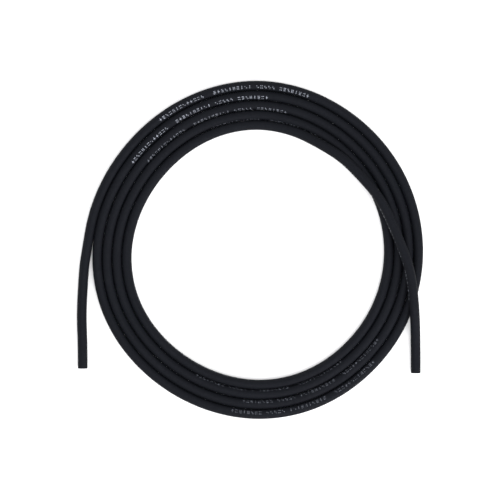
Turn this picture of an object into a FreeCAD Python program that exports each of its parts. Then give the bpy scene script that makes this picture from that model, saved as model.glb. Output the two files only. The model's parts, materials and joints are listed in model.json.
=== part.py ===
"""Instrument cable: one screened cable with plain cut ends, lying in a flat coil.

Frame: +Z up, the cable lies on the plane z = 0, the origin is the bottom centre of its box.
The route runs from the first cut end at the left, up the left side, clockwise round the coil
from the outermost turn to the innermost, over the other turns at the right, and down to the
second cut end. Every layer of the cable follows that one route. Millimetres and degrees.
"""
import FreeCAD, Part
import math
import os
import Sketcher

Vector = FreeCAD.Vector

# The driving dimensions: alias, value, meaning.
SIZES = (
    ("jacket_outer", 6.6, "outside diameter of the cable"),
    ("jacket_bore", 4.2, "bore of the jacket"),
    ("screen_outer", 4.1, "outside diameter of the served copper screen"),
    ("screen_bore", 3.6, "bore of the screen"),
    ("static_outer", 3.5, "outside diameter of the conductive plastic layer"),
    ("static_bore", 3.0, "bore of the conductive plastic layer"),
    ("insulation_outer", 2.9, "outside diameter of the core insulation"),
    ("insulation_bore", 1.02, "bore of the core insulation"),
    ("wire_diameter", 0.18, "one strand of the core"),
    ("wire_spacing", 0.20, "centre to centre of neighbouring strands"),
    ("coil_x", 5.9, "centre of the coil"),
    ("coil_y", -3.3, "centre of the coil"),
    ("coil_radius", 114.6, "mean radius of the outermost turn, at the cable's centre"),
    ("pitch", 6.65, "from one turn to the next"),
    ("points_per_turn", 24, "points of the route in one turn"),
    ("first_end_x", -113.2, "the first cut end"),
    ("first_end_y", -80.2, "the first cut end"),
    ("crossing_height", 10.15, "height of the centre line where it passes over the turns"),
)

# The turns aren't quite round: each row is a number of lobes, the radius that they add, and
# where one of them is highest, counter-clockwise from +X.
LOBES = ((2, 1.0, 20.0), (4, 0.8, 10.0))

# Angles along the winding, clockwise from +Y. Each lap moves in by one pitch between these two.
STEP_START = -3.0
STEP_END = 76.0
COIL_START = -75.0
COIL_END = 4 * 360 + 15

# The turns are pushed in a little where the second tail crosses them: the bearing of the middle
# of that stretch, counter-clockwise from +X, its reach to each side, and how far in it goes.
PUSHED_BEARING = 3.0
PUSHED_REACH = 42.0
PUSHED_DEPTH = 1.6

# Core strands: how many lie in each ring round the middle one.
RINGS = (1, 6, 12)

ARC_SHARE = 0.45  # an arc's tangent length as a share of the shorter run beside it
SMALLEST_BEND = 5.0  # in cable diameters
VOLUME_TOLERANCE = 0.005  # a strand off the middle line runs a little longer or shorter


def make_sheet(doc):
    """Put the driving dimensions in a spreadsheet, with an alias for each."""
    sheet = doc.addObject("Spreadsheet::Sheet", "sizes")
    for row, (alias, value, meaning) in enumerate(SIZES, start=1):
        sheet.set(f"A{row}", meaning)
        sheet.set(f"B{row}", str(value))
        sheet.setAlias(f"B{row}", alias)
    doc.recompute()
    return sheet


# ---------------------------------------------------------------- the route


def pushed_in(bearing):
    """How far in the turns lie at a bearing because they are pushed in beside the crossing."""
    beside = math.remainder(bearing - PUSHED_BEARING, 360) / PUSHED_REACH
    if abs(beside) >= 1:
        return 0.0
    return PUSHED_DEPTH * math.cos(math.radians(90 * beside)) ** 2


def turn_radius(sheet, angle):
    """Radius of the winding's centre line at an angle along it."""
    lap = math.floor((angle - STEP_START) / 360)
    share = min((angle - STEP_START - 360 * lap) / (STEP_END - STEP_START), 1)
    moved_in = lap + share * share * (3 - 2 * share)
    bearing = 90 - angle
    lobes = sum(depth * math.cos(math.radians(count * (bearing - high))) for count, depth, high in LOBES)
    return sheet.coil_radius - moved_in * sheet.pitch + lobes - pushed_in(bearing)


def coil_points(sheet):
    """Corners of the polygon that touches the winding's centre line from outside."""
    step = 360 / sheet.points_per_turn
    outward = 1 / math.cos(math.radians(step / 2))
    points = []
    for number in range(round((COIL_END - COIL_START) / step) + 1):
        angle = COIL_START + number * step
        reach = turn_radius(sheet, angle) * outward
        bearing = math.radians(90 - angle)
        points.append(Vector(
            sheet.coil_x + reach * math.cos(bearing),
            sheet.coil_y + reach * math.sin(bearing),
            sheet.jacket_outer / 2,
        ))
    return points


def route_points(sheet):
    """All points of the route: the first tail, the coil, then the crossing and the second tail."""
    floor = sheet.jacket_outer / 2
    top = sheet.crossing_height
    first_tail = [
        Vector(sheet.first_end_x, sheet.first_end_y, floor),
        Vector(sheet.first_end_x, -63.0, floor),
        Vector(-114.1, -43.9, floor),
        Vector(-112.5, -14.0, floor),
        Vector(-111.2, -4.4, floor),
    ]
    second_tail = [
        Vector(46.9, 71.7, floor + 3.4),
        Vector(62.5, 61.9, top - 1.0),
        Vector(75.3, 48.8, top),
        Vector(88.2, 33.8, top),
        Vector(98.4, 11.2, top),
        Vector(107.8, -12.9, top),
        Vector(110.6, -38.9, top + 0.3),
        Vector(111.9, -61.6, floor),
        Vector(111.9, -83.3, floor),
    ]
    return first_tail + coil_points(sheet) + second_tail


def route_wire(points):
    """Straight runs joined by tangent arcs. Returns the wire and the arcs' radii."""
    edges = []
    radii = []
    reached = points[0]
    for before, corner, after in zip(points, points[1:], points[2:]):
        arriving = (corner - before).normalize()
        leaving = (after - corner).normalize()
        half_turn = arriving.getAngle(leaving) / 2
        tangent = ARC_SHARE * min(corner.distanceToPoint(before), corner.distanceToPoint(after))
        radius = tangent / math.tan(half_turn)
        arc_start = corner - arriving * tangent
        arc_end = corner + leaving * tangent
        inward = (leaving - arriving).normalize()
        middle = corner + inward * (radius / math.cos(half_turn) - radius)
        edges.append(Part.LineSegment(reached, arc_start).toShape())
        edges.append(Part.Arc(arc_start, middle, arc_end).toShape())
        radii.append(radius)
        reached = arc_end
    edges.append(Part.LineSegment(reached, points[-1]).toShape())
    return Part.Wire(edges), radii


def make_route(doc, sheet):
    """The cable's centre line as an object of the document, which every pipe follows."""
    wire, radii = route_wire(route_points(sheet))
    route = doc.addObject("Part::Feature", "route")
    route.Shape = wire
    print("arc radii along the route, mm:", " ".join(f"{radius:.0f}" for radius in radii))
    print(f"smallest {min(radii):.1f} mm, route length {wire.Length:.1f} mm")
    if min(radii) < SMALLEST_BEND * sheet.jacket_outer:
        raise ValueError("the route bends too tightly")
    return route


# ---------------------------------------------------------------- the layers


def add_section(body, across="0", up="0"):
    """An empty sketch at the first cut end, square to the route, moved by two expressions."""
    sketch = body.newObject("Sketcher::SketchObject", body.Name + "_section")
    plane = next(item for item in body.Origin.OriginFeatures if item.Role == "XZ_Plane")
    sketch.AttachmentSupport = [(plane, "")]
    sketch.MapMode = "FlatFace"
    sketch.setExpression("AttachmentOffset.Base.x", f"sizes.first_end_x + ({across})")
    sketch.setExpression("AttachmentOffset.Base.y", f"sizes.jacket_outer / 2 + ({up})")
    sketch.setExpression("AttachmentOffset.Base.z", "-sizes.first_end_y")
    return sketch


def add_circle(sketch, diameter):
    """A circle at the sketch's origin, as wide as an expression says."""
    circle = sketch.addGeometry(Part.Circle(Vector(), Vector(0, 0, 1), 1.0), False)
    sketch.addConstraint(Sketcher.Constraint("Coincident", circle, 3, -1, 1))
    size = sketch.addConstraint(Sketcher.Constraint("Diameter", circle, 2.0))
    sketch.setExpression(f"Constraints[{size}]", diameter)


def add_pipe(body, sketch, route):
    """Carry the section along the whole route."""
    pipe = body.newObject("PartDesign::AdditivePipe", body.Name + "_pipe")
    pipe.Profile = sketch
    pipe.Spine = (route, [f"Edge{number}" for number in range(1, len(route.Shape.Edges) + 1)])


def make_layer(doc, route, name, outer, bore):
    """A tubular layer of the cable."""
    body = doc.addObject("PartDesign::Body", name)
    sketch = add_section(body)
    add_circle(sketch, outer)
    add_circle(sketch, bore)
    add_pipe(body, sketch, route)
    return body


def make_strand(doc, route, number, ring, turn):
    """One round wire of the core, in its place in the bundle."""
    body = doc.addObject("PartDesign::Body", f"core_strand_{number:02d}")
    reach = f"{ring} * sizes.wire_spacing"
    sketch = add_section(body, f"{reach} * cos({turn} deg)", f"{reach} * sin({turn} deg)")
    add_circle(sketch, "sizes.wire_diameter")
    add_pipe(body, sketch, route)
    return body


def make_core(doc, route):
    """The stranded core: one wire in the middle and two rings round it."""
    strands = []
    for ring, count in enumerate(RINGS):
        for place in range(count):
            strands.append(make_strand(doc, route, len(strands) + 1, ring, 360 * place / count))
    return strands


# ---------------------------------------------------------------- checks and files


def check_objects(doc):
    for item in doc.Objects:
        if "Invalid" in item.State or "Error" in item.State:
            raise ValueError(f"{item.Name} failed: {item.State}")


def check_piece(body, section, length):
    """A piece is one valid solid with the volume of its section carried along the route."""
    shape = body.Shape
    if shape.isNull() or not shape.isValid() or len(shape.Solids) != 1:
        raise ValueError(f"{body.Label} isn't one valid solid")
    expected = section * length
    print(f"{body.Label}: {shape.Volume:.1f} mm3, section x length {expected:.1f} mm3")
    if abs(shape.Volume / expected - 1) > VOLUME_TOLERANCE:
        raise ValueError(f"{body.Label} has the wrong volume")


def ring_area(outer, bore=0.0):
    return math.pi * (outer ** 2 - bore ** 2) / 4


def main():
    doc = FreeCAD.newDocument("instrument_cable")
    sheet = make_sheet(doc)
    route = make_route(doc, sheet)
    jacket = make_layer(doc, route, "jacket", "sizes.jacket_outer", "sizes.jacket_bore")
    screen = make_layer(doc, route, "copper_screen", "sizes.screen_outer", "sizes.screen_bore")
    static = make_layer(doc, route, "conductive_layer", "sizes.static_outer", "sizes.static_bore")
    insulation = make_layer(
        doc, route, "core_insulation", "sizes.insulation_outer", "sizes.insulation_bore"
    )
    strands = make_core(doc, route)
    doc.recompute()
    check_objects(doc)

    length = route.Shape.Length
    check_piece(jacket, ring_area(sheet.jacket_outer, sheet.jacket_bore), length)
    check_piece(screen, ring_area(sheet.screen_outer, sheet.screen_bore), length)
    check_piece(static, ring_area(sheet.static_outer, sheet.static_bore), length)
    check_piece(insulation, ring_area(sheet.insulation_outer, sheet.insulation_bore), length)
    for strand in strands:
        check_piece(strand, ring_area(sheet.wire_diameter), length)

    os.makedirs("parts", exist_ok=True)
    for body in [jacket, screen, static, insulation] + strands:
        body.Shape.exportStep(f"parts/{body.Label}.step")
    box = jacket.Shape.optimalBoundingBox(False)
    print(f"box from {box.XMin:.2f} {box.YMin:.2f} {box.ZMin:.2f}")
    print(f"box to {box.XMax:.2f} {box.YMax:.2f} {box.ZMax:.2f}")


main()
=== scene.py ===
"""Looks of the instrument cable: jacket, screen, conductive layer, insulation and core strands,
all laid along one smooth route, with plain printed marks on the jacket. Lengths are metres.

The route's points are those of part.py. Every layer is a tube built round the smooth line that
Blender draws through them, so the layers nest at the cut ends as they do along the coil.
"""
import json
import math
import random

import bpy
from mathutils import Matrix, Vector


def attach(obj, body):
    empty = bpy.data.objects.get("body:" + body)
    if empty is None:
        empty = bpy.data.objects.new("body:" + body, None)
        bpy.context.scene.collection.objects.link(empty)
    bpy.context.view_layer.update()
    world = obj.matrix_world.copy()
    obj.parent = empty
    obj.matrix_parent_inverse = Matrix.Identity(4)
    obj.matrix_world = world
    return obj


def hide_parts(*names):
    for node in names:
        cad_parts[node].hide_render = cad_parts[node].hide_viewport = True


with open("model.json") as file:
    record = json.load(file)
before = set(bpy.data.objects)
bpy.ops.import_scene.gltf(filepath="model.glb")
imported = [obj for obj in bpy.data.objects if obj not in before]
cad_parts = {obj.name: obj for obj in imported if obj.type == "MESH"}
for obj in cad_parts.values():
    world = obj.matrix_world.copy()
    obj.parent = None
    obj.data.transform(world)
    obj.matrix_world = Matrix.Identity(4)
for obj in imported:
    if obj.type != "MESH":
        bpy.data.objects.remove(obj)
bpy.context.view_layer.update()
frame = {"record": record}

MM = 0.001
UP = Vector((0, 0, 1))

# ---------------------------------------------------------------- sizes

mounts = {mount["name"]: mount for mount in frame["record"]["mounts"]}
JACKET_RADIUS = mounts["first_end"]["dims"]["r_mm"] * MM
JACKET_BORE = 2.10 * MM
SCREEN_RADIUS = 2.05 * MM
SCREEN_BORE = 1.80 * MM
STATIC_RADIUS = 1.75 * MM
STATIC_BORE = 1.50 * MM
INSULATION_RADIUS = 1.45 * MM
INSULATION_BORE = 0.51 * MM
STRAND_RADIUS = 0.09 * MM
STRAND_SPACING = 0.20 * MM
STRAND_LAY = 25.0 * MM
STRAND_UNEVEN = 0.06 * MM
CORE_RINGS = (1, 6, 12)

# Sides of the tubes, and the rounding of their edges at the cuts.
JACKET_SIDES = 36
LAYER_SIDES = 24
WIRE_SIDES = 8
JACKET_EDGE = 0.18 * MM
SCREEN_EDGE = 0.05 * MM
STATIC_EDGE = 0.03 * MM
INSULATION_EDGE = 0.06 * MM
STRAND_EDGE = 0.02 * MM
POINTS_BETWEEN_CORNERS = 9
SHARP_ANGLE = 38.0

# ---------------------------------------------------------------- the route, as in part.py

COIL_CENTRE = Vector((5.9, -3.3, 0)) * MM
COIL_RADIUS = 114.6 * MM
PITCH = 6.65 * MM
POINTS_PER_TURN = 24
LOBES = ((2, 1.0 * MM, 20.0), (4, 0.8 * MM, 10.0))
STEP_START = -3.0
STEP_END = 76.0
COIL_START = -75.0
COIL_END = 4 * 360 + 15
PUSHED_BEARING = 3.0
PUSHED_REACH = 42.0
PUSHED_DEPTH = 1.6 * MM

# The tails' points are in millimetres.
FLOOR = JACKET_RADIUS / MM
TOP = 10.15
FIRST_TAIL = (
    (-113.2, -80.2, FLOOR),
    (-113.2, -63.0, FLOOR),
    (-114.1, -43.9, FLOOR),
    (-112.5, -14.0, FLOOR),
    (-111.2, -4.4, FLOOR),
)
SECOND_TAIL = (
    (46.9, 71.7, FLOOR + 3.4),
    (62.5, 61.9, TOP - 1.0),
    (75.3, 48.8, TOP),
    (88.2, 33.8, TOP),
    (98.4, 11.2, TOP),
    (107.8, -12.9, TOP),
    (110.6, -38.9, TOP + 0.3),
    (111.9, -61.6, FLOOR),
    (111.9, -83.3, FLOOR),
)


def pushed_in(bearing):
    """How far in the turns lie at a bearing because they are pushed in beside the crossing."""
    beside = math.remainder(bearing - PUSHED_BEARING, 360) / PUSHED_REACH
    if abs(beside) >= 1:
        return 0.0
    return PUSHED_DEPTH * math.cos(math.radians(90 * beside)) ** 2


def turn_radius(angle):
    """Radius of the winding's centre line at an angle along it, clockwise from +Y."""
    lap = math.floor((angle - STEP_START) / 360)
    share = min((angle - STEP_START - 360 * lap) / (STEP_END - STEP_START), 1)
    moved_in = lap + share * share * (3 - 2 * share)
    bearing = 90 - angle
    lobes = sum(
        depth * math.cos(math.radians(count * (bearing - high))) for count, depth, high in LOBES
    )
    return COIL_RADIUS - moved_in * PITCH + lobes - pushed_in(bearing)


def coil_points():
    """Corners of the polygon that touches the winding's centre line from outside."""
    step = 360 / POINTS_PER_TURN
    outward = 1 / math.cos(math.radians(step / 2))
    points = []
    for number in range(round((COIL_END - COIL_START) / step) + 1):
        angle = COIL_START + number * step
        reach = turn_radius(angle) * outward
        bearing = math.radians(90 - angle)
        spot = Vector((math.cos(bearing), math.sin(bearing), 0)) * reach
        points.append(COIL_CENTRE + spot + UP * JACKET_RADIUS)
    return points


def smooth_line():
    """The cable's centre line, as Blender draws one spline from the route's points."""
    first_tail = [Vector(point) * MM for point in FIRST_TAIL]
    second_tail = [Vector(point) * MM for point in SECOND_TAIL]
    points = first_tail + coil_points() + second_tail
    curve = bpy.data.curves.new("route", "CURVE")
    curve.dimensions = "3D"
    curve.resolution_u = POINTS_BETWEEN_CORNERS
    spline = curve.splines.new("NURBS")
    spline.points.add(len(points) - 1)
    for place, point in zip(spline.points, points):
        place.co = (*point, 1)
    spline.order_u = 3
    spline.use_endpoint_u = True
    route = bpy.data.objects.new("route", curve)
    mesh = bpy.data.meshes.new_from_object(route)
    line = [vertex.co.copy() for vertex in mesh.vertices]
    bpy.data.meshes.remove(mesh)
    bpy.data.objects.remove(route)
    bpy.data.curves.remove(curve)
    return line


class Route:
    """The line and, at each of its points, the way along it and the section's two axes.

    In a section, turn 0 is the cable's underside, 90 degrees is the side towards the inside of
    the coil, and 180 degrees is the crown.
    """

    def __init__(self, line):
        self.line = line
        self.along = []
        for i in range(len(line)):
            ahead = line[min(i + 1, len(line) - 1)]
            behind = line[max(i - 1, 0)]
            self.along.append((ahead - behind).normalized())
        self.inward = [along.cross(UP).normalized() for along in self.along]
        self.upward = [inward.cross(along) for inward, along in zip(self.inward, self.along)]
        self.run = [0.0]
        for start, end in zip(line, line[1:]):
            self.run.append(self.run[-1] + (end - start).length)
        self.length = self.run[-1]

    def at(self, distance):
        """The place, the way along and the section's axes at a distance along the line."""
        low, high = 0, len(self.run) - 1
        while high - low > 1:
            middle = (low + high) // 2
            if self.run[middle] <= distance:
                low = middle
            else:
                high = middle
        share = (distance - self.run[low]) / (self.run[high] - self.run[low])
        place = self.line[low].lerp(self.line[high], share)
        axes = [
            values[low].lerp(values[high], share).normalized()
            for values in (self.along, self.inward, self.upward)
        ]
        return (place, *axes)

    def stations(self, start, end, edge):
        """Distances for the rings of a tube: the line's own points, and a ring beside each cut."""
        inner = [run for run in self.run if start + edge * 2 < run < end - edge * 2]
        return [start + edge, *inner, end - edge]

    def ring(self, distance, radius, sides, aside=0.0, turned=0.0):
        """A circle of points in a section, its centre moved aside from the line."""
        place, along, inward, upward = self.at(distance)
        centre = place + (inward * math.sin(turned) - upward * math.cos(turned)) * aside
        points = []
        for j in range(sides):
            turn = 2 * math.pi * j / sides
            points.append(centre + (inward * math.sin(turn) - upward * math.cos(turn)) * radius)
        return points


# ---------------------------------------------------------------- meshes


class Shape:
    """Vertices and faces gathered for one piece; each face has a material number."""

    def __init__(self):
        self.vertices = []
        self.faces = []
        self.numbers = []

    def add_rings(self, rings, joined, numbers=None):
        """Walls between rings of equal size. joined makes the last ring meet the first."""
        first = len(self.vertices)
        sides = len(rings[0])
        for ring in rings:
            self.vertices.extend(ring)
        spans = len(rings) if joined else len(rings) - 1
        for i in range(spans):
            a, b = first + i * sides, first + (i + 1) % len(rings) * sides
            for j in range(sides):
                k = (j + 1) % sides
                self.faces.append((a + j, b + j, b + k, a + k))
                self.numbers.append(numbers[i] if numbers else 0)
        if not joined:
            last = first + (len(rings) - 1) * sides
            self.faces.append(tuple(first + j for j in range(sides)))
            self.faces.append(tuple(last + j for j in range(sides))[::-1])
            self.numbers.extend((0, 0))

    def piece(self, name, materials, slot, nodes=()):
        """Make the object, let it ride on the cable's body and stand for its CAD nodes."""
        mesh = bpy.data.meshes.new(name)
        mesh.from_pydata(self.vertices, [], self.faces)
        for material in materials:
            mesh.materials.append(material)
        mesh.polygons.foreach_set("use_smooth", [True] * len(self.faces))
        mesh.polygons.foreach_set("material_index", self.numbers)
        mesh.set_sharp_from_angle(angle=math.radians(SHARP_ANGLE))
        mesh.update()
        piece = bpy.data.objects.new(name, mesh)
        bpy.context.scene.collection.objects.link(piece)
        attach(piece, "root")
        for node in nodes:
            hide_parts(node)
        return piece


def add_tube(shape, route, outer, bore, sides, edge, start=0.0, end=None):
    """A closed hollow tube from start to end, with its outer and inner edges rounded at the cuts."""
    end = route.length if end is None else end
    corner = [math.radians(30 * q) for q in range(4)]
    rings, numbers = [], []

    def put(distance, radius, number):
        rings.append(route.ring(distance, radius, sides))
        numbers.append(number)

    for turn in corner[:-1]:
        put(start + edge * (1 - math.cos(turn)), outer - edge * (1 - math.sin(turn)), 1)
    for distance in route.stations(start, end, edge):
        put(distance, outer, 0)
    for turn in corner[-2::-1]:
        put(end - edge * (1 - math.cos(turn)), outer - edge * (1 - math.sin(turn)), 1)
    small = edge / 3
    put(end, bore + small, 0)
    for distance in reversed(route.stations(start, end, small)):
        put(distance, bore, 0)
    put(start, bore + small, 1)
    shape.add_rings(rings, joined=True, numbers=numbers)


def make_screen(route, material):
    """The served screen: a plain tube along the middle and its separate wires near each cut."""
    wires = 54
    wire_radius = 0.105 * MM
    middle = (SCREEN_RADIUS + SCREEN_BORE) / 2
    shown = 7.0 * MM
    lap = 0.4 * MM
    lay = 38.0 * MM
    longest_uneven = 0.12
    steps = 8
    chance = random.Random(5)
    shape = Shape()
    start, end = shown, route.length - shown
    add_tube(shape, route, SCREEN_RADIUS, SCREEN_BORE, LAYER_SIDES, SCREEN_EDGE, start, end)
    for at_end in (False, True):
        for number in range(wires):
            uneven = chance.uniform(0.0, longest_uneven) * MM
            rings = []
            for step in range(steps + 1):
                depth = uneven + (shown + lap - uneven) * step / steps
                distance = route.length - depth if at_end else depth
                turned = 2 * math.pi * (number / wires + distance / lay)
                rings.append(route.ring(distance, wire_radius, WIRE_SIDES, middle, turned))
            shape.add_rings(rings[::-1] if at_end else rings, joined=False)
    return shape.piece("screen", [material], "copper", ["copper_screen"])


def make_strands(route, material):
    """The core: one wire in the middle and two rings of wires twisted round it."""
    chance = random.Random(11)
    strands = []
    for circle, count in enumerate(CORE_RINGS):
        for place in range(count):
            shape = Shape()
            start = chance.uniform(0.0, STRAND_UNEVEN)
            end = route.length - chance.uniform(0.0, STRAND_UNEVEN)
            rings = []
            for distance in [start, *route.stations(start, end, STRAND_EDGE), end]:
                turned = 2 * math.pi * (place / count + distance / STRAND_LAY)
                at_cut = distance in (start, end)
                radius = STRAND_RADIUS * (0.85 if at_cut else 1.0)
                aside = circle * STRAND_SPACING
                rings.append(route.ring(distance, radius, WIRE_SIDES, aside, turned))
            shape.add_rings(rings, joined=False)
            name = f"strand_{len(strands) + 1:02d}"
            strands.append(shape.piece(name, [material], "copper", [f"core_{name}"]))
    return strands


# Plain marks in place of lettering. A stroke is its left, foot, width and height as shares of
# the mark's own width and height.
MARKS = {
    "post": ((0.36, 0.0, 0.26, 1.0),),
    "pair": ((0.06, 0.0, 0.24, 1.0), (0.70, 0.0, 0.24, 1.0)),
    "rungs": ((0.0, 0.0, 1.0, 0.18), (0.0, 0.41, 1.0, 0.18), (0.0, 0.82, 1.0, 0.18)),
    "cross": ((0.38, 0.0, 0.24, 1.0), (0.0, 0.41, 0.38, 0.18), (0.62, 0.41, 0.38, 0.18)),
    "dots": ((0.0, 0.12, 0.32, 0.26), (0.68, 0.62, 0.32, 0.26)),
    "stairs": ((0.0, 0.0, 0.34, 0.30), (0.33, 0.35, 0.34, 0.30), (0.66, 0.70, 0.34, 0.30)),
    "split": ((0.08, 0.0, 0.26, 0.55), (0.66, 0.45, 0.26, 0.55)),
    "corners": (
        (0.0, 0.0, 0.36, 0.26),
        (0.64, 0.0, 0.36, 0.26),
        (0.0, 0.74, 0.36, 0.26),
        (0.64, 0.74, 0.36, 0.26),
    ),
}


def add_stroke(shape, route, start, end, low, high):
    """A thin printed patch between two distances along the cable and two turns round it."""
    sunk, proud = -0.02 * MM, 0.015 * MM
    steps = 3
    rings = []
    for distance in (start, end):
        place, _, inward, upward = route.at(distance)
        ring = []
        for lift, order in ((proud, range(steps + 1)), (sunk, range(steps, -1, -1))):
            for step in order:
                turn = low + (high - low) * step / steps
                out = inward * math.sin(turn) - upward * math.cos(turn)
                ring.append(place + out * (JACKET_RADIUS + lift))
        rings.append(ring)
    shape.add_rings(rings, joined=False)


def make_print(route, material):
    """The jacket's print: groups of plain marks that repeat and drift slowly round the cable.

    A block is its number of marks and the gap behind it. The print's turn from the crown is in
    degrees; it starts at start_turn and has grown by drift at the last group.
    """
    first_group = 184.0 * MM
    group_pitch = 326.5 * MM
    blocks = ((13, 6.2 * MM), (10, 2.6 * MM), (5, 2.4 * MM), (8, 0.0))
    mark_pitch = 2.70 * MM
    mark_width = 1.55 * MM
    mark_height = 2.1 * MM
    start_turn, drift, last_group = 18.0, 62.0, 8
    chance = random.Random(3)
    row = [([chance.choice(list(MARKS)) for _ in range(count)], gap) for count, gap in blocks]
    shape = Shape()
    groups = int((route.length - first_group) / group_pitch) + 1
    for group in range(groups):
        drifted = math.sin(math.radians(90 * min(group / last_group, 1))) ** 2
        from_crown = start_turn + drift * drifted
        height = mark_height / JACKET_RADIUS
        foot = math.radians(180 - from_crown) + height / 2
        left = first_group + group * group_pitch
        for block, gap in row:
            for mark in block:
                if left + mark_width > route.length:
                    break
                for across, up, width, tall in MARKS[mark]:
                    start = left + across * mark_width
                    end = start + width * mark_width
                    low = foot - (up + tall) * height
                    add_stroke(shape, route, start, end, low, low + tall * height)
                left += mark_pitch
            left += gap
    return shape.piece("print_marks", [material], "print_ink")


# ---------------------------------------------------------------- materials


class Finish:
    """A Principled material whose colour, roughness and bump come from noise."""

    def __init__(self, name, roughness, metallic=0.0, specular=0.5):
        self.material = bpy.data.materials.new(name)
        self.material.use_nodes = True
        self.nodes = self.material.node_tree.nodes
        self.links = self.material.node_tree.links
        self.shader = self.nodes["Principled BSDF"]
        self.shader.inputs["Metallic"].default_value = metallic
        self.shader.inputs["Roughness"].default_value = roughness
        self.shader.inputs["Specular IOR Level"].default_value = specular
        self.place = self.nodes.new("ShaderNodeTexCoord").outputs["Object"]

    def noise(self, grain, detail=3.0, stretch=(1, 1, 1)):
        """Noise whose features are about grain metres across."""
        spread = self.nodes.new("ShaderNodeMapping")
        spread.inputs["Scale"].default_value = stretch
        self.links.new(self.place, spread.inputs["Vector"])
        texture = self.nodes.new("ShaderNodeTexNoise")
        texture.inputs["Scale"].default_value = 1 / grain
        texture.inputs["Detail"].default_value = detail
        self.links.new(spread.outputs["Vector"], texture.inputs["Vector"])
        return texture.outputs["Fac"]

    def ramp(self, source, stops):
        """Colours, or greys from single numbers, at places from 0 to 1 of a source."""
        ramp = self.nodes.new("ShaderNodeValToRGB")
        while len(ramp.color_ramp.elements) < len(stops):
            ramp.color_ramp.elements.new(0.5)
        for element, (position, colour) in zip(ramp.color_ramp.elements, stops):
            element.position = position
            element.color = (*colour, 1) if hasattr(colour, "__len__") else (colour, colour, colour, 1)
        self.links.new(source, ramp.inputs["Fac"])
        return ramp.outputs["Color"]

    def mix(self, share, first, second):
        mix = self.nodes.new("ShaderNodeMix")
        mix.data_type = "RGBA"
        self.links.new(share, mix.inputs["Factor"])
        self.links.new(first, mix.inputs[6])
        self.links.new(second, mix.inputs[7])
        return mix.outputs[2]

    def feed(self, socket, source):
        self.links.new(source, self.shader.inputs[socket])

    def bump(self, source, depth, strength=1.0, under=None):
        bump = self.nodes.new("ShaderNodeBump")
        bump.inputs["Distance"].default_value = depth
        bump.inputs["Strength"].default_value = strength
        self.links.new(source, bump.inputs["Height"])
        if under:
            self.links.new(under, bump.inputs["Normal"])
        self.links.new(bump.outputs["Normal"], self.shader.inputs["Normal"])
        return bump.outputs["Normal"]


INK = (0.34, 0.35, 0.36)
# Darker ink colour, used as painted shade towards -Y and on the turns near the coil's centre.
INK_PAINTED_SHADE = (0.165, 0.17, 0.18)
INK_GONE = (0.012, 0.013, 0.015)
# Half the span along Y over which the painted shade on the ink comes in.
INK_SHADE_HALF_SPAN = 0.04


def jacket_finish():
    """Soft matt black PVC: fine grain from the extruder, faint cloudiness and light handling marks."""
    finish = Finish("jacket_pvc", 0.7, specular=0.09)
    cloud = finish.ramp(
        finish.noise(0.045, 4.0), [(0.30, (0.0028, 0.0031, 0.0040)), (0.72, (0.0033, 0.0037, 0.0047))]
    )
    paler = finish.ramp(
        finish.noise(0.030, 4.0), [(0.30, (0.0046, 0.0050, 0.0063)), (0.72, (0.0057, 0.0062, 0.0076))]
    )
    grain = finish.ramp(finish.noise(0.0006, 3.0), [(0.40, 0.0), (0.62, 0.75)])
    scuffed = finish.ramp(
        finish.noise(0.012, 6.0), [(0.0, (0.0055, 0.0059, 0.0072)), (1.0, (0.0085, 0.0090, 0.0104))]
    )
    scuffs = finish.ramp(finish.noise(0.022, 8.0), [(0.62, 0.0), (0.76, 0.7)])
    finish.feed("Base Color", finish.mix(scuffs, finish.mix(grain, cloud, paler), scuffed))
    finish.feed("Roughness", finish.ramp(finish.noise(0.0014, 5.0), [(0.3, 0.58), (0.7, 0.76)]))
    orange_peel = finish.bump(finish.noise(0.0016, 3.0), 0.05 * MM, 0.7)
    finish.bump(finish.noise(0.0005, 3.0), 0.02 * MM, 0.7, orange_peel)
    return finish.material


def cut_finish():
    """The jacket's cut face: the same plastic, a little shinier, with knife lines."""
    finish = Finish("jacket_cut", 0.5, specular=0.2)
    dark, pale = (0.006, 0.0064, 0.0076), (0.013, 0.0137, 0.0156)
    finish.feed("Base Color", finish.ramp(finish.noise(0.0006, 4.0), [(0.3, dark), (0.7, pale)]))
    finish.feed("Roughness", finish.ramp(finish.noise(0.0005, 3.0), [(0.3, 0.40), (0.7, 0.62)]))
    finish.bump(finish.noise(0.0010, 4.0, (1, 1, 9)), 0.05 * MM, 0.6)
    return finish.material


def copper_finish():
    """Bare drawn copper, slightly tarnished in places."""
    finish = Finish("bare_copper", 0.3, metallic=1.0)
    tarnished, bright = (0.72, 0.34, 0.19), (0.90, 0.50, 0.34)
    finish.feed("Base Color", finish.ramp(finish.noise(0.0012, 4.0), [(0.3, tarnished), (0.7, bright)]))
    finish.feed("Roughness", finish.ramp(finish.noise(0.0008, 4.0), [(0.3, 0.22), (0.7, 0.42)]))
    finish.bump(finish.noise(0.0004, 3.0), 0.01 * MM, 0.5)
    return finish.material


def static_finish():
    """Carbon-filled conductive plastic."""
    finish = Finish("conductive_plastic", 0.8, specular=0.35)
    dark, pale = (0.010, 0.010, 0.011), (0.035, 0.035, 0.036)
    finish.feed("Base Color", finish.ramp(finish.noise(0.0005, 5.0), [(0.35, dark), (0.75, pale)]))
    finish.feed("Roughness", finish.ramp(finish.noise(0.0006, 3.0), [(0.3, 0.65), (0.7, 0.9)]))
    finish.bump(finish.noise(0.0003, 3.0), 0.02 * MM, 0.6)
    return finish.material


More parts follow.
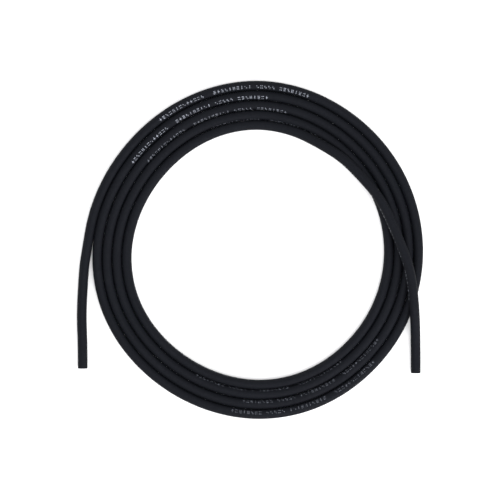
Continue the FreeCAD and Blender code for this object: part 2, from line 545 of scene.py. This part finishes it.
def insulation_finish():
    """Milky polyethylene, which lets a little light in."""
    finish = Finish("milky_polyethylene", 0.42)
    finish.shader.inputs["Subsurface Weight"].default_value = 0.35
    finish.shader.inputs["Subsurface Radius"].default_value = (1.0, 0.95, 0.85)
    finish.shader.inputs["Subsurface Scale"].default_value = 0.6 * MM
    dark, pale = (0.47, 0.465, 0.43), (0.56, 0.555, 0.52)
    finish.feed("Base Color", finish.ramp(finish.noise(0.0015, 3.0), [(0.3, dark), (0.7, pale)]))
    finish.feed("Roughness", finish.ramp(finish.noise(0.0008, 3.0), [(0.3, 0.36), (0.7, 0.52)]))
    finish.bump(finish.noise(0.0008, 3.0, (1, 1, 7)), 0.03 * MM, 0.5)
    return finish.material


def ink_finish():
    """Pale grey ink, worn in places so that the jacket's black comes through. Painted shade makes it
    darker towards -Y, and it is also darker on the turns near the coil's centre.
    """
    finish = Finish("print_ink", 0.6, specular=0.2)
    worn = finish.ramp(finish.noise(0.0005, 5.0), [(0.38, INK_GONE), (0.56, INK)])
    # Painted shade: the ink at half brightness, with the same kind of wear noise.
    shaded_worn_ink = finish.ramp(finish.noise(0.0009, 4.0), [(0.40, INK_GONE), (0.64, INK_PAINTED_SHADE)])
    # Mask of the painted shade: 0 towards -Y and on the turns near the coil's centre, 1 elsewhere.
    along_y = finish.nodes.new("ShaderNodeSeparateXYZ")
    finish.links.new(finish.place, along_y.inputs["Vector"])
    half = finish.nodes.new("ShaderNodeMapRange")
    half.inputs["From Min"].default_value = -INK_SHADE_HALF_SPAN
    half.inputs["From Max"].default_value = INK_SHADE_HALF_SPAN
    finish.links.new(along_y.outputs["Y"], half.inputs["Value"])
    from_centre = finish.nodes.new("ShaderNodeVectorMath")
    from_centre.operation = "DISTANCE"
    from_centre.inputs[1].default_value = COIL_CENTRE
    finish.links.new(finish.place, from_centre.inputs[0])
    outer = finish.nodes.new("ShaderNodeMapRange")
    outer.inputs["From Min"].default_value = 0.090
    outer.inputs["From Max"].default_value = 0.106
    finish.links.new(from_centre.outputs["Value"], outer.inputs["Value"])
    unshaded_share = finish.nodes.new("ShaderNodeMath")
    unshaded_share.operation = "MULTIPLY"
    finish.links.new(half.outputs["Result"], unshaded_share.inputs[0])
    finish.links.new(outer.outputs["Result"], unshaded_share.inputs[1])
    # Painted shade: where the mask is 0 the darker ink is drawn, where it is 1 the full ink.
    finish.feed("Base Color", finish.mix(unshaded_share.outputs["Value"], shaded_worn_ink, worn))
    finish.feed("Roughness", finish.ramp(finish.noise(0.0009, 3.0), [(0.3, 0.5), (0.7, 0.75)]))
    finish.bump(finish.noise(0.0003, 3.0), 0.01 * MM, 0.5)
    return finish.material


# ---------------------------------------------------------------- studio


COOL_WHITE = (0.93, 0.96, 1.08)
WORLD_STRENGTH = 1.28
FLOOR_HALF = 3.0
FLOOR_TONES = ((0.98, 0.95, 0.85), (1.0, 0.97, 0.87))

# Name, place, side of the square and power of each lamp. Both face the middle of the coil.
LAMPS = (
    ("softbox", (0.45, -0.68, 1.85), 1.8, 28.0),
    ("side", (1.4, -1.6, 0.75), 0.9, 26.0),
)

# The camera's view is FIELD wide at the height where the cable is widest.
LENS = 135.0
SENSOR = 36.0
FIELD = 338.0 * MM
CAMERA_ASIDE = -0.1 * MM


def make_floor():
    """A pale floor, warm enough that the cool lights leave its shadows grey."""
    half = FLOOR_HALF
    mesh = bpy.data.meshes.new("studio_floor")
    corners = [(-half, -half, 0), (half, -half, 0), (half, half, 0), (-half, half, 0)]
    mesh.from_pydata(corners, [], [(0, 1, 2, 3)])
    finish = Finish("studio_floor", 0.9, specular=0.1)
    finish.feed("Base Color", finish.ramp(finish.noise(0.4, 2.0), list(enumerate(FLOOR_TONES))))
    mesh.materials.append(finish.material)
    floor = bpy.data.objects.new("studio_floor", mesh)
    bpy.context.scene.collection.objects.link(floor)


def make_light(name, place, size, power):
    lamp = bpy.data.lights.new(name, "AREA")
    lamp.shape = "SQUARE"
    lamp.size = size
    lamp.energy = power
    lamp.color = COOL_WHITE
    light = bpy.data.objects.new(name, lamp)
    light.location = place
    light.rotation_euler = (-Vector(place)).to_track_quat("-Z", "Y").to_euler()
    bpy.context.scene.collection.objects.link(light)


def make_studio():
    make_floor()
    for lamp in LAMPS:
        make_light(*lamp)
    world = bpy.data.worlds.new("studio")
    world.use_nodes = True
    background = world.node_tree.nodes["Background"]
    background.inputs["Color"].default_value = (*COOL_WHITE, 1)
    background.inputs["Strength"].default_value = WORLD_STRENGTH
    bpy.context.scene.world = world
    bpy.context.scene.view_settings.view_transform = "Standard"


def make_camera():
    """A camera that looks straight down on the coil, with +Y at the top of its view."""
    camera = bpy.data.cameras.new("camera")
    camera.lens = LENS
    camera.sensor_width = SENSOR
    camera.clip_start = 0.01
    camera.clip_end = 20
    holder = bpy.data.objects.new("camera", camera)
    holder.location = (CAMERA_ASIDE, CAMERA_ASIDE, JACKET_RADIUS + FIELD * LENS / SENSOR)
    bpy.context.scene.collection.objects.link(holder)
    bpy.context.scene.camera = holder


# ---------------------------------------------------------------- the cable


def main():
    make_camera()
    make_studio()
    route = Route(smooth_line())

    copper = copper_finish()
    jacket_materials = [jacket_finish(), cut_finish()]
    static_materials = [static_finish()] * 2
    insulation_materials = [insulation_finish()] * 2

    shape = Shape()
    add_tube(shape, route, JACKET_RADIUS, JACKET_BORE, JACKET_SIDES, JACKET_EDGE)
    jacket = shape.piece("cable_jacket", jacket_materials, "jacket", ["jacket"])

    shape = Shape()
    add_tube(shape, route, STATIC_RADIUS, STATIC_BORE, LAYER_SIDES, STATIC_EDGE)
    static = shape.piece("static_layer", static_materials, "conductive_plastic", ["conductive_layer"])

    shape = Shape()
    add_tube(shape, route, INSULATION_RADIUS, INSULATION_BORE, LAYER_SIDES, INSULATION_EDGE)
    insulation = shape.piece("insulation", insulation_materials, "insulation", ["core_insulation"])

    screen = make_screen(route, copper)
    strands = make_strands(route, copper)
    marks = make_print(route, ink_finish())


main()
